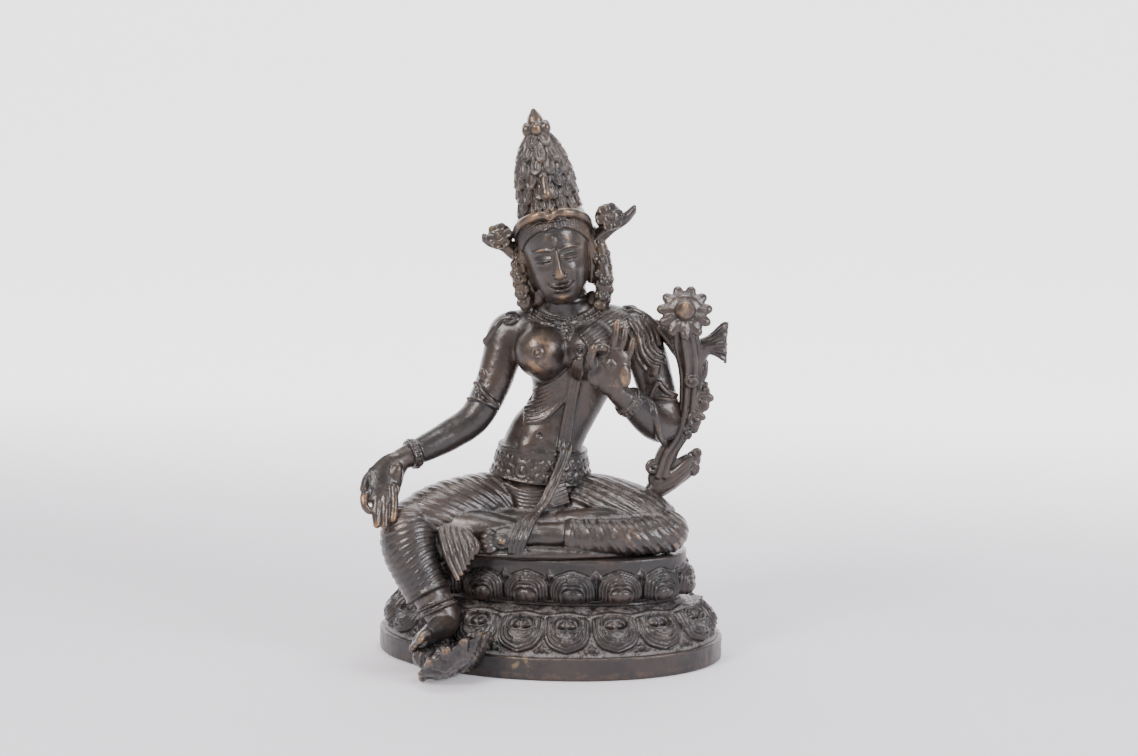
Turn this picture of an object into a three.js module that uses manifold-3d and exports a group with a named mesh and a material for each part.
// A cast bronze figure of Tara, seated at ease on a double lotus base, with one foot on a small lotus.
// Millimetres, +Z up. The origin is the middle of the base's underside, and the base's front faces -Y.
import * as THREE from "three";
import { mergeVertices } from "three/addons/utils/BufferGeometryUtils.js";
import Module from "manifold-3d";

const wasm = await Module();
wasm.setup();

// Driving dimensions of the base
const PLINTH_WIDTH = 160;
const PLINTH_DEPTH = 114;
const PLINTH_HEIGHT = 10.2;
const PLINTH_EDGE = 1.2; // how far the plinth's edges are rounded
const LOWER_LOTUS_HEIGHT = 17.6;
const UPPER_LOTUS_HEIGHT = 16.6;
const SEAT_BAND_HEIGHT = 5.6;
const WAIST_WIDTH = 124;
const WAIST_DEPTH = 69;
const SEAT_WIDTH = 127;
const SEAT_DEPTH = 73;
const LOWER_PETALS = 18;
const UPPER_PETALS = 16;
const PETAL_SWELL = 3.4; // how far a petal stands out of its tier

// Driving dimensions of the figure and of the lotus under its foot
const FIGURE_HEIGHT = 200; // from the seat to the tip of the hair
const VIEWER_TURN = 15; // degrees: the figure faces a viewer who stands this far round from the base's front
const FOOT_LOTUS_WIDTH = 37;
const FOOT_LOTUS_THICKNESS = 8;
const STALK_WIDTH = 11;
const THIGH_FOLDS = 4; // the main folds of cloth round each thigh and each shin
const SHIN_FOLDS = 5;
const FOLD_DEPTH = 0.035; // a fold's depth, as a share of the limb's radius
const SEAT_GAP = 0.3; // clearance between the figure's casting and the base's

const WAIST_LEVEL = PLINTH_HEIGHT + LOWER_LOTUS_HEIGHT;
const BAND_LEVEL = WAIST_LEVEL + UPPER_LOTUS_HEIGHT;
const SEAT_LEVEL = BAND_LEVEL + SEAT_BAND_HEIGHT;
const UNIT = FIGURE_HEIGHT / 200; // the figure's own unit, a two-hundredth of its height

const bronze = (name, color) => new THREE.MeshStandardMaterial({ name, color, roughness: 0.42, metalness: 0.9 });

const point = (x, y, z) => new THREE.Vector3(x, y, z);

const radians = THREE.MathUtils.degToRad;

// A closed three.js geometry as a solid that can be joined and cut.
function solid(geometry) {
  const bare = geometry.clone();
  bare.deleteAttribute("normal");
  bare.deleteAttribute("uv");
  const merged = mergeVertices(bare, 1e-4);
  return new wasm.Manifold(
    new wasm.Mesh({
      numProp: 3,
      vertProperties: new Float32Array(merged.attributes.position.array),
      triVerts: new Uint32Array(merged.index.array),
    }),
  );
}

const joined = (geometries) => geometries.map(solid).reduce((all, one) => all.add(one));

function geometryOf(shape) {
  const { vertProperties, triVerts } = shape.getMesh();
  const geometry = new THREE.BufferGeometry();
  geometry.setAttribute("position", new THREE.BufferAttribute(vertProperties, 3));
  geometry.setIndex(new THREE.BufferAttribute(triVerts, 1));
  return geometry;
}

// A closed limb through stations [x, y, z, half across, half deep], which run smoothly into each other.
// level is the direction that "across" follows, and folds(t, angle) scales the section.
function limb(stations, { sides = 10, steps = stations.length, level = [1, 0, 0], folds = () => 1 } = {}) {
  const centres = new THREE.CatmullRomCurve3(stations.map(([x, y, z]) => point(x, y, z)));
  const sizes = new THREE.CatmullRomCurve3(stations.map(([, , , across, deep]) => point(across, deep, 0)));
  const geometry = new THREE.CylinderGeometry(1, 1, 1, sides, steps);
  const place = geometry.attributes.position;
  for (let i = 0; i < place.count; i += 1) {
    const [x, y, z] = [place.getX(i), place.getY(i), place.getZ(i)];
    const t = THREE.MathUtils.clamp(0.5 - y, 0, 1);
    const along = centres.getTangent(t);
    const across = new THREE.Vector3(...level).addScaledVector(along, -along.dot(new THREE.Vector3(...level)));
    across.normalize();
    const deep = along.clone().cross(across);
    const size = sizes.getPoint(t).multiplyScalar(folds(t, Math.atan2(x, z)));
    const at = centres.getPoint(t).addScaledVector(across, x * size.x).addScaledVector(deep, z * size.y);
    place.setXYZ(i, at.x, at.y, at.z);
  }
  return geometry;
}

// A round rod of even or tapering thickness through plain points.
function rod(points, radii, options = {}) {
  const radius = (i) => (Array.isArray(radii) ? radii[i] : radii);
  return limb(points.map(([x, y, z], i) => [x, y, z, radius(i), radius(i)]), { sides: 5, ...options });
}

// An egg-shaped mass with its own half sizes, turned by [x, y, z] degrees.
function egg([x, y, z], [across, deep, tall], { turn = [0, 0, 0], sides = 6, rings = 4 } = {}) {
  const geometry = new THREE.SphereGeometry(1, sides, rings);
  geometry.rotateX(Math.PI / 2);
  geometry.scale(across, deep, tall);
  geometry.rotateX(radians(turn[0]));
  geometry.rotateY(radians(turn[1]));
  geometry.rotateZ(radians(turn[2]));
  geometry.translate(x, y, z);
  return geometry;
}

// Folds of cloth round a limb, at an even pitch.
const folded = (count, height) => ({ steps: 2 * count, folds: (t) => 1 + height * Math.cos(2 * Math.PI * count * t) });

// Angles that divide an ellipse into stretches of equal length, the first of them at the front.
function evenAngles(halfWidth, halfDepth, count) {
  const samples = 3600;
  const lengths = [0];
  const at = (i) => -Math.PI / 2 + (2 * Math.PI * i) / samples;
  for (let i = 1; i <= samples; i += 1) {
    const middle = (at(i) + at(i - 1)) / 2;
    const speed = Math.hypot(halfWidth * Math.sin(middle), halfDepth * Math.cos(middle));
    lengths.push(lengths[i - 1] + speed);
  }
  return Array.from({ length: count }, (_, k) => at(lengths.findIndex((s) => s >= (lengths[samples] * k) / count)));
}

// The base

// A closed stack of elliptical rows [height, half width, half depth], with relief(angle share, row) added outwards.
function stack(rows, segments, relief = () => 0) {
  const geometry = new THREE.CylinderGeometry(1, 1, 1, segments, rows.length - 1);
  geometry.rotateX(Math.PI / 2);
  const place = geometry.attributes.position;
  const angles = rows.map(([, halfWidth, halfDepth]) => evenAngles(halfWidth, halfDepth, segments));
  for (let i = 0; i < place.count; i += 1) {
    const [x, y] = [place.getX(i), place.getY(i)];
    const row = Math.round((place.getZ(i) + 0.5) * (rows.length - 1));
    const [level, halfWidth, halfDepth] = rows[row];
    if (Math.hypot(x, y) < 0.5) {
      place.setXYZ(i, 0, 0, level);
      continue;
    }
    const turn = Math.atan2(y, x) / (2 * Math.PI) + 0.25;
    const step = ((Math.round(turn * segments) % segments) + segments) % segments;
    const angle = angles[row][step];
    const outward = Math.atan2(Math.sin(angle) / halfDepth, Math.cos(angle) / halfWidth);
    const out = relief(step / segments, row);
    place.setXYZ(
      i,
      Math.cos(angle) * halfWidth + Math.cos(outward) * out,
      Math.sin(angle) * halfDepth + Math.sin(outward) * out,
      level,
    );
  }
  return geometry;
}

// The swell of one petal among count round the tier, where half is the petal's half width at that row.
const petalSwell = (count, half) => (turn) => {
  const offset = Math.abs(((turn * count + 0.5) % 1) - 0.5);
  return PETAL_SWELL * (Math.sqrt(Math.max(0, 1 - (offset / half) ** 2)) - 1);
};

function plinth(grow) {
  return stack([
    [-grow, PLINTH_WIDTH / 2 - PLINTH_EDGE + grow, PLINTH_DEPTH / 2 - PLINTH_EDGE + grow],
    [PLINTH_EDGE, PLINTH_WIDTH / 2 + grow, PLINTH_DEPTH / 2 + grow],
    [PLINTH_HEIGHT - PLINTH_EDGE, PLINTH_WIDTH / 2 + grow, PLINTH_DEPTH / 2 + grow],
    [PLINTH_HEIGHT + grow, PLINTH_WIDTH / 2 - PLINTH_EDGE + grow, PLINTH_DEPTH / 2 - PLINTH_EDGE + grow],
  ], 32);
}

// The tier whose petals hang from the waist down to the plinth
function lowerTier(grow) {
  const spread = [(PLINTH_WIDTH - WAIST_WIDTH) / 2, (PLINTH_DEPTH - WAIST_DEPTH) / 2];
  const shape = [[-0.1, 0.72, 0.3], [0.1, 0.86, 0.44], [0.4, 0.8, 0.53], [0.75, 0.5, 0.62], [1.02, 0.02, 2]];
  const rows = shape.map(([share, out]) => [
    PLINTH_HEIGHT + LOWER_LOTUS_HEIGHT * share,
    WAIST_WIDTH / 2 + spread[0] * out + grow,
    WAIST_DEPTH / 2 + spread[1] * out + grow,
  ]);
  return stack(rows, LOWER_PETALS * 4, (turn, row) => petalSwell(LOWER_PETALS, shape[row][2])(turn));
}

// The tier whose petals stand up from the waist, with the plain band of the seat over it
function upperTier(grow) {
  const shape = [[-0.04, 0, 2], [0.1, 0.12, 0.9], [0.35, 0.8, 0.56], [0.65, 1, 0.52], [0.88, 0.78, 0.44], [1, 0.2, 0.3]];
  const rows = shape.map(([share, out]) => [
    WAIST_LEVEL + UPPER_LOTUS_HEIGHT * share,
    THREE.MathUtils.lerp(WAIST_WIDTH, SEAT_WIDTH, share) / 2 + PETAL_SWELL * out + grow,
    THREE.MathUtils.lerp(WAIST_DEPTH, SEAT_DEPTH, share) / 2 + PETAL_SWELL * out + grow,
  ]);
  return stack(rows, UPPER_PETALS * 4, (turn, row) => petalSwell(UPPER_PETALS, shape[row][2])(turn));
}

function seatBand(grow) {
  return stack([
    [BAND_LEVEL - 2, SEAT_WIDTH / 2 + grow, SEAT_DEPTH / 2 + grow],
    [SEAT_LEVEL - 0.8, SEAT_WIDTH / 2 + grow, SEAT_DEPTH / 2 + grow],
    [SEAT_LEVEL + grow, SEAT_WIDTH / 2 - 0.8 + grow, SEAT_DEPTH / 2 - 0.8 + grow],
  ], 32);
}

// The ground that the base stands on, which cuts the foot's lotus off level
const ground = () => solid(new THREE.BoxGeometry(400, 400, 60).translate(0, 0, -30));

// The lotus base. grow swells it evenly, which gives the room that the figure has to keep clear of.
const lotusBase = (grow = 0) => joined([
  plinth(grow), lowerTier(grow), upperTier(grow), seatBand(grow), ...footLotus(grow),
]).subtract(ground());

// From the figure's frame to the base's: turned to its viewer and raised to the seat.
const FIGURE_PLACE = new THREE.Matrix4()
  .makeTranslation(0, 0, SEAT_LEVEL + SEAT_GAP)
  .multiply(new THREE.Matrix4().makeRotationZ(radians(VIEWER_TURN)))
  .multiply(new THREE.Matrix4().makeScale(UNIT, UNIT, UNIT));

// The small lotus that carries the hanging foot, tipped the way the sole is
const FOOT_LOTUS_PLACE = point(-40.6, -59, -38.2); // the middle of its rim, in the figure's frame
const FOOT_LOTUS_TIP = [-24, -33.5, 0]; // degrees about x, y and z
const SOLE = point(-50, -53, -40.6); // the middle of the mass under the sole

function footLotus(grow) {
  const petals = 8;
  const radius = FOOT_LOTUS_WIDTH / 2;
  const cup = new THREE.CylinderGeometry(1, 1, 1, petals * 2, 2);
  cup.rotateX(Math.PI / 2);
  const place = cup.attributes.position;
  const profile = [0.56, 0.94, 1]; // share of the radius, from the underside to the top
  for (let i = 0; i < place.count; i += 1) {
    const row = Math.round((place.getZ(i) + 0.5) * 2);
    const corner = Math.round((Math.atan2(place.getY(i), place.getX(i)) / Math.PI) * petals);
    const scallop = row > 0 && Math.abs(corner % 2) === 1 ? 0.9 : 1;
    const reach = (radius + grow) * profile[row] * scallop;
    const level = (row / 2 - 1) * FOOT_LOTUS_THICKNESS + (row - 1) * grow;
    place.setXYZ(i, place.getX(i) * reach, place.getY(i) * reach, level);
  }
  cup.rotateX(radians(FOOT_LOTUS_TIP[0]));
  cup.rotateY(radians(FOOT_LOTUS_TIP[1]));
  cup.rotateZ(radians(FOOT_LOTUS_TIP[2] + VIEWER_TURN));
  const at = FOOT_LOTUS_PLACE.clone().applyMatrix4(FIGURE_PLACE);
  cup.translate(at.x, at.y, at.z);
  // Bronze fills the room between the lotus and the sole
  const under = SOLE.clone().applyMatrix4(FIGURE_PLACE);
  const fill = egg([under.x, under.y, under.z], [8.4 + grow, 9 + grow, 6 + grow], { turn: [10, -20, 15], sides: 8 });
  // A stalk runs from inside the plinth to the cup's underside
  const inside = [at.x * 0.72, 22 - PLINTH_DEPTH / 2, PLINTH_HEIGHT * 0.7];
  const end = [at.x, at.y, at.z - 3];
  const stalk = rod([inside, end.map((v, k) => (v + inside[k]) / 2), end], STALK_WIDTH / 2 + grow, {
    sides: 8,
    steps: 2,
    level: [0, 0, 1],
  });
  return [cup, fill, stalk];
}

// The figure, in its own frame and unit: x to its viewer's right, y away from the viewer, z up from the seat

function torso() {
  const trunk = limb([
    [-3.8, 5, -1, 25, 19],
    [-3.8, 5, 12, 24, 19],
    [-3.8, 5, 22, 22.6, 17.5],
    [-3.7, 4, 31, 21.6, 16],
    [-2.8, 3.5, 41.8, 19.2, 14.5],
    [-0.6, 2.5, 49.5, 17.6, 13.4],
    [4.2, 2, 57, 15.2, 12],
    [7.3, 2, 63, 15.4, 11.8],
    [10, 2.5, 73, 18.6, 13],
    [11, 3, 84, 22.5, 14.4],
    [11, 3.5, 93, 25.5, 13.8],
    [10.6, 3.5, 99.5, 23, 10.8],
    [9.6, 3, 104.5, 15.5, 9],
    [8.2, 1.5, 109, 9.6, 8.2],
    [7.7, -0.5, 116, 9, 8.4],
  ], { sides: 10, steps: 10 });
  const breasts = [[-3.2, -8.5, 89.6], [17.8, -8.5, 90]].map((at) => egg(at, [12.6, 12.2, 12.8], {
    turn: [90, 0, 0],
    sides: 8,
    rings: 5,
  }));
  const belt = limb([
    [-4, 4.4, 27.5, 23.4, 17.8],
    [-3.8, 4.2, 28.5, 24, 18.4],
    [-3.2, 3.6, 40.5, 21.2, 16.4],
    [-3, 3.4, 41.8, 20.4, 15.6],
  ], { sides: 12, steps: 3 });
  const shoulders = limb([
    [-20, 5.6, 95, 8.6, 8.6],
    [-7, 4.4, 98.6, 9, 9.4],
    [10, 3.6, 100.6, 8.6, 10],
    [27, 1.4, 99.8, 9.4, 9.6],
    [41, -3, 96, 8.8, 9],
  ], { sides: 8, steps: 4, level: [0, 1, 0] });
  return [trunk, ...breasts, belt, shoulders];
}

// The end of the scarf that hangs down the front from the chest to the lap.
function scarf() {
  return [limb([
    [13, -13, 84, 2, 1.4],
    [12.6, -12.6, 70, 2.6, 1.6],
    [10.6, -11, 58, 2.8, 2],
    [6, -14, 46, 2.8, 2],
    [3, -16.8, 34, 3, 2],
    [-1, -18.4, 22, 3.2, 2],
    [-6.4, -24, 17, 3.4, 2.4],
    [-9, -33.6, 12.6, 3.2, 2.2],
    [-10, -36, 6, 2.4, 1.8],
  ], { sides: 4, steps: 8 })];
}

// The head is made upright about its own middle, then bowed and leaned as one.
function head() {
  const skull = limb([
    [0, -6, -22, 4.4, 4],
    [0, -5.6, -19.6, 7.4, 6.8],
    [0, -4, -15, 10.6, 10.4],
    [0, -2, -8, 13.2, 14.4],
    [0, 0, 2, 14.6, 16.4],
    [0, 0.6, 10, 14.4, 16.6],
    [0, 0.6, 17, 13, 14.6],
    [0, 0.4, 21, 9, 10],
  ], { sides: 10, steps: 6 });
  const nose = limb([
    [0, -16.2, 3.2, 1, 1.4],
    [0, -17.2, -2, 1.4, 1.8],
    [0, -17.2, -5.6, 2.4, 2.2],
    [0, -15, -7, 2, 1.6],
  ], { sides: 5, steps: 3 });
  const hairCap = limb([
    [0, 7, -16, 10, 7],
    [0, 5, -8, 14, 11],
    [0, 3, 0, 15.8, 14.6],
    [0, 2, 8, 16.2, 17.4],
    [0, 1, 15, 15.8, 16.8],
    [0, 0.8, 20, 15.2, 15.4],
    [0, 0.8, 24, 14, 14],
  ], { sides: 10, steps: 4 });
  return [skull, nose, hairCap];
}

// The tall knot of hair: tiers of leaf-like locks whose tips stand out, under a bud with beads round it.
function hairKnot() {
  const tiers = 4;
  const lobes = 8;
  const core = limb([
    [0, 0.8, 19, 14.2, 14.8],
    [0, 0.8, 24, 13.8, 14],
    [0, 0.8, 32, 13.4, 13.4],
    [0, 0.8, 40, 12.4, 12.4],
    [0, 0.6, 47, 10.4, 10.4],
    [0, 0.4, 53, 7.4, 7.4],
    [0, 0.2, 58, 5, 5],
  ], {
    sides: 2 * lobes,
    steps: 2 * tiers,
    folds: (t, angle) => {
      const tier = Math.floor(t * tiers + 0.25);
      const share = t * tiers - tier;
      return 1 + (0.25 - share) * 0.13 * (1.4 + Math.cos(lobes * angle + Math.PI * (tier % 2)));
    },
  });
  const beads = limb([
    [0, 0, 55.4, 4.4, 4.4],
    [0, 0, 58.6, 6.6, 6.6],
    [0, 0, 61.6, 4, 4],
  ], { sides: 10, steps: 3, folds: (t, angle) => 1 + 0.1 * Math.cos(5 * angle) });
  const bud = limb([
    [0, 0, 56, 4.4, 4.4],
    [0, 0, 60.5, 3.9, 3.9],
    [0, 0, 63.5, 3, 3],
    [0, 0, 67, 0.7, 0.7],
  ], { sides: 6, steps: 4 });
  return [core, beads, bud];
}

// Ear ornaments: a flower with a ribbon end over each ear, and a long drop down to the shoulder.
function earOrnaments() {
  const make = (points, radii) => rod(points, radii, { steps: points.length - 1 });
  return [
    make([[-9, 1, 133], [-15, -1, 130], [-15.9, -3, 122], [-13.6, -3, 114], [-11, -1, 104]], [3.4, 4, 4.4, 4, 3.4]),
    make([[-9, 1, 130], [-16, -1, 134], [-20, -1.6, 138.6], [-26.4, -3, 139.4], [-29.6, -4, 140]], [4, 4.6, 4.6, 3, 1.6]),
    egg([-21.6, -5, 142.6], [6.2, 4.8, 6.2]),
    make([[16, 1, 140], [24, -1, 134], [26.6, -2.6, 124], [26, -2.6, 116], [24.4, -1.6, 106]], [4, 4.6, 5, 4.4, 3.6]),
    make([[17, 1, 134], [24, -2, 141], [29, -3.6, 145.6], [34.4, -4, 149], [38.8, -4, 153.4]], [4, 4.8, 4.6, 2.8, 1.6]),
    egg([26.8, -5.2, 149.6], [7, 4.8, 7]),
  ];
}

// A hand: a palm with fingers as rods, each given by its own points.
const finger = (points, radius = 1.7) => rod(points, [...points.slice(1).map(() => radius), radius * 0.65], {
  steps: points.length - 1,
});

function rightArm() {
  const arm = limb([
    [-12.5, 6, 98, 8, 8],
    [-18.4, 6, 96, 9.4, 9],
    [-22, 3.6, 84, 9, 8.6],
    [-26.4, 0.4, 71, 8.2, 8],
    [-33.6, -4, 58.6, 7.4, 7.4],
    [-44, -8, 51.6, 6.8, 6.8],
    [-55, -14, 46.4, 6, 6],
    [-65, -19, 42.4, 4.6, 5],
    [-69.6, -22, 39.4, 5, 5],
  ], { sides: 8, steps: 8, level: [0, 1, 0] });
  const palm = limb([
    [-67.6, -21, 40.8, 4, 5],
    [-71.6, -25.4, 36.6, 3, 7.4],
    [-74.6, -29.6, 30, 2.8, 8.6],
    [-75, -32.6, 25, 2.6, 7],
  ], { sides: 6, steps: 3, level: [0, 1, 0] });
  const fingers = [
    finger([[-76.6, -32.6, 27], [-77.2, -36, 21], [-76.8, -37.4, 15.4]]),
    finger([[-72.8, -33, 26.4], [-72.6, -36.6, 20], [-72.4, -38.4, 14.6]]),
    finger([[-69.2, -32.4, 28], [-69, -35.6, 23.4], [-68.8, -37, 18.8]]),
    finger([[-79.4, -31, 31], [-82, -34, 28.4], [-79.6, -35.4, 23]]),
    finger([[-78, -25, 37.6], [-82, -29.6, 34], [-82.2, -33.4, 29.6]], 1.9),
  ];
  const bracelet = limb([
    [-58.4, -15.6, 45.2, 6.8, 6.8],
    [-60.6, -16.8, 44.2, 7, 7],
    [-63, -18, 43.2, 6.4, 6.6],
  ], { sides: 8, steps: 1, level: [0, 1, 0] });
  return [arm, palm, ...fingers, bracelet];
}

function leftArm() {
  const arm = limb([
    [33, 3, 100, 8.5, 8],
    [40, -3, 97.6, 9.4, 9],
    [45, -5.6, 84.6, 9, 8.8],
    [49, -7, 70.6, 8.4, 8.2],
    [52.6, -10, 56.8, 7.6, 7.6],
    [47, -17, 57.6, 7, 7],
    [39, -24, 65.6, 6.2, 6.2],
    [32, -28.6, 72, 5.2, 5.2],
    [28.6, -30.4, 76, 4.8, 4.6],
  ], { sides: 8, steps: 8, level: [0, 1, 0] });
  const palm = limb([
    [29.4, -30, 75, 5, 4.4],
    [26.4, -31.6, 80, 9, 4],
    [26.6, -32, 87, 9.6, 3.2],
    [28.6, -31.4, 93, 7.6, 2.8],
  ], { sides: 6, steps: 3 });
  const fingers = [
    finger([[27.4, -31.6, 91], [29.4, -33, 98], [30.2, -32.4, 105]]),
    finger([[30.8, -31.6, 91], [32.8, -32.6, 96.6], [33.8, -32, 101.6]]),
    finger([[34.4, -31, 88], [36, -32, 92.6], [36.8, -31.6, 96.4]]),
    finger([[24, -32, 90.6], [24.4, -35.6, 95.4], [21.6, -37.4, 95.6]]),
    finger([[20.4, -32.6, 83], [18.6, -35, 89], [20.4, -37, 95]], 2.1),
  ];
  const bracelet = limb([
    [38.4, -24.4, 66.4, 7.4, 7.4],
    [36.4, -26, 68.2, 7.8, 7.8],
    [34.4, -27.4, 70, 7.2, 7.2],
  ], { sides: 8, steps: 1, level: [0, 1, 0] });
  return [arm, palm, ...fingers, bracelet];
}

// The tassels that lie on both shoulders.
function shoulderPieces() {
  return [
    rod([[-21.6, 1, 102.4], [-27, -1, 99], [-27.6, -1, 93]], [2.2, 2.6, 2], { steps: 2 }),
    rod([[42, -4.6, 105.4], [47.4, -5.6, 101.6], [50, -6.6, 95]], [1.8, 2.4, 1.8], { steps: 2 }),
  ];
}

function rightLeg() {
  const thigh = limb([
    [-13, 4, 15.5, 15, 15],
    [-26, -2, 17.6, 15.4, 15],
    [-38, -9.6, 18, 14.4, 14.6],
    [-50, -17, 17, 13, 13.4],
    [-58.6, -22, 14, 11.6, 12],
    [-62.6, -25.6, 10.4, 10.6, 11.6],
  ], { sides: 9, level: [0, 0, 1], ...folded(THIGH_FOLDS, FOLD_DEPTH) });
  const shin = limb([
    [-61, -23, 17.6, 10, 9],
    [-62.6, -26.4, 12, 12.4, 12],
    [-62.4, -28.6, 4, 12.4, 12.2],
    [-59.6, -31, -4, 11.6, 11.4],
    [-55.6, -33.4, -13, 10.6, 10.4],
    [-52, -35.2, -20.6, 9.8, 9.4],
  ], { sides: 9, ...folded(SHIN_FOLDS, FOLD_DEPTH) });
  const ankle = limb([
    [-52, -35, -17, 8.4, 8.4],
    [-48.4, -37, -22.4, 7.6, 7.6],
    [-46, -39, -27, 7.4, 8],
    [-45.6, -40, -31.6, 6, 7.4],
  ], { sides: 7, steps: 3 });
  const foot = limb([
    [-44.4, -38, -28.6, 5, 5],
    [-46.6, -43, -29, 6.6, 5.6],
    [-50.6, -50, -30.6, 7, 4.8],
    [-55, -56.4, -32.6, 7, 3.6],
    [-58.6, -61, -34.4, 6, 2.4],
  ], { sides: 7, steps: 4, level: [0.8, -0.6, 0] });
  return [thigh, shin, ankle, foot];
}

function leftLeg() {
  const thigh = limb([
    [8, 4, 15, 14.6, 14.6],
    [20, -1, 17.4, 14.6, 14],
    [32, -8, 17, 13.4, 13.4],
    [43, -14.6, 14.8, 12, 12.4],
    [51.4, -20, 11.8, 9.6, 10.4],
  ], { sides: 9, level: [0, 0, 1], ...folded(THIGH_FOLDS, FOLD_DEPTH) });
  const shin = limb([
    [55.6, -19.6, 9.4, 6.6, 6],
    [54.4, -22, 9.6, 9.4, 9],
    [48, -25.4, 9, 9, 9.4],
    [36, -29, 8.4, 8.4, 9],
    [22, -30.4, 8.6, 8, 8.4],
    [7, -30.6, 9, 7.4, 7.6],
  ], { sides: 9, level: [0, 0, 1], ...folded(SHIN_FOLDS, FOLD_DEPTH) });
  const ankle = limb([
    [10, -30.4, 9.4, 6.4, 6.6],
    [0, -30.6, 9.4, 6.2, 6.2],
    [-6.6, -30.4, 9, 5.8, 5.8],
    [-12.6, -29.6, 7.6, 6.6, 6.4],
  ], { sides: 7, steps: 3, level: [0, 0, 1] });
  const foot = limb([
    [-9, -29, 7, 6.4, 6],
    [-15, -30, 6.6, 6.8, 5.6],
    [-23, -33.4, 6, 6, 4.2],
    [-30, -35.6, 6, 5.4, 2.4],
  ], { sides: 7, steps: 3, level: [0, 0, 1] });
  return [thigh, shin, ankle, foot];
}

// Skirt cloth between the legs, its pleated fall over the seat's front edge, and the hem that lies on the seat.
function skirt() {
  const lap = limb([
    [-46, -19, 4, 10, 9],
    [-34, -17, 6.4, 13.4, 10],
    [-21, -16, 8, 15, 10.4],
    [-8, -13, 8.6, 15.6, 10],
    [8, -11, 8.6, 15, 10],
    [22, -11, 6, 12, 8],
  ], { sides: 8, steps: 5, level: [0, 1, 0] });
  const fan = limb([
    [-38, -24, 9.6, 8.4, 2.4],
    [-37, -30.6, 8.4, 8.6, 3],
    [-37.4, -35.8, 2.6, 7.4, 3.2],
    [-38.6, -38.4, -3, 4.4, 2.6],
    [-39.6, -39.4, -7.4, 1.8, 1.6],
  ], { sides: 10, steps: 4, folds: (t, angle) => 1 + 0.12 * Math.cos(5 * angle) });
  const hem = limb([
    [-30, -27.6, 1.4, 7, 2.6],
    [-16, -31.4, 1.6, 6.6, 2.8],
    [-2, -34, 2, 5.6, 3.6],
    [14, -33, 1.6, 5.4, 2.8],
    [32, -29, 1, 5, 2],
    [46, -22, 0.6, 4, 1.6],
  ], { sides: 5, steps: 6, level: [0, 1, 0] });
  const back = limb([
    [-46, 4, 2.6, 7, 4],
    [-24, 17, 6, 12, 8],
    [-3, 21.6, 6.4, 11, 9],
    [20, 17, 6, 12, 8],
    [42, 2, 2.6, 8, 4],
  ], { sides: 6, steps: 5, level: [0, 1, 0] });
  return [lap, fan, hem, back];
}

// The lotus plant at the left arm: a root leaf on the thigh, the stem up the outer arm, a side bud and the flower.
function lotusPlant() {
  const stem = rod([
    [48, -7.4, 24], [53, -9, 32], [55.4, -9.6, 43], [59.4, -9.4, 52], [62, -9, 62], [61.8, -9, 73], [61.8, -9, 84],
    [61.6, -12, 94], [60.8, -15, 101],
  ], [4.2, 4.4, 4.2, 4, 4.2, 4.6, 5, 5.2, 4.2], { sides: 6, steps: 8, level: [0, 1, 0] });
  const joinToShoulder = rod([[61.4, -9, 86], [57, -7.6, 92], [52, -6, 98], [47, -4.6, 101.4]], [2.8, 3.6, 3.4, 2.6], { steps: 3 });
  const leafEnd = limb([
    [50, -9, 27.6, 4.8, 3.2],
    [57, -9, 32, 5.2, 3.2],
    [62, -9, 36, 5, 3],
    [65.4, -9, 39.6, 3.8, 2.6],
    [67, -9, 44.4, 1.8, 1.8],
  ], { sides: 6, steps: 4, level: [0, 0, 1] });
  const curls = [
    [47, -10, 36.8, 3.2], [64.8, -10, 36.2, 2.8], [68.2, -10, 67.4, 3.8],
  ].map(([x, y, z, r]) => egg([x, y, z], [r, r * 0.8, r], { sides: 5, rings: 4 }));
  const curlStalk = rod([[54.6, -9, 36], [51.4, -9, 40], [48.8, -9.2, 38.6]], 2.2, { steps: 2 });
  const budStalk = rod([[62, -9, 82], [67, -9, 87], [72, -9, 90.4]], [3.4, 3.2, 3.2], { steps: 2 });
  const bud = limb([
    [70, -9, 89.6, 3, 2.8],
    [73, -8.8, 90.8, 4.4, 3.6],
    [76.6, -8.5, 92, 6.8, 4.2],
    [80.2, -8.2, 93, 8.8, 3.8],
  ], { sides: 8, steps: 3, level: [0, 0, 1], folds: (t, angle) => 1 + 0.07 * Math.cos(4 * angle) });
  const flower = limb([
    [60.4, -12.6, 105.2, 5, 5],
    [60.5, -17.4, 107.4, 12, 11],
    [60.6, -20.4, 108.4, 11.4, 10.4],
    [60.6, -21.6, 109.4, 5.4, 5.2],
    [60.6, -24, 110.4, 3.6, 3.6],
    [60.6, -25.6, 111, 1, 1],
  ], { sides: 14, steps: 5, folds: (t, angle) => 1 + 0.05 * Math.sin(Math.PI * t) * Math.cos(7 * angle) });
  return [stem, joinToShoulder, leafEnd, ...curls, curlStalk, budStalk, bud, flower];
}

// The whole figure as one casting, cut clear of the base it sits on.
function taraFigure() {
  const headPlace = new THREE.Matrix4()
    .makeTranslation(3.7, -2.4, 132.2)
    .multiply(new THREE.Matrix4().makeRotationFromEuler(new THREE.Euler(radians(3), radians(-9.2), 0)));
  const pieces = [
    ...torso(), ...scarf(), ...earOrnaments(), ...rightArm(), ...leftArm(), ...shoulderPieces(),
    ...rightLeg(), ...leftLeg(), ...skirt(), ...lotusPlant(),
    ...[...head(), ...hairKnot()].map((piece) => piece.applyMatrix4(headPlace)),
  ];
  return joined(pieces.map((piece) => piece.applyMatrix4(FIGURE_PLACE))).subtract(lotusBase(SEAT_GAP));
}

function meshOf(name, shape, color) {
  const mesh = new THREE.Mesh(geometryOf(shape), bronze(name, color));
  mesh.name = name;
  return mesh;
}

const tara = new THREE.Group();
tara.add(meshOf("lotus_base", lotusBase(), 0x3b3532));
tara.add(meshOf("tara_figure", taraFigure(), 0x35302d));

export default tara;
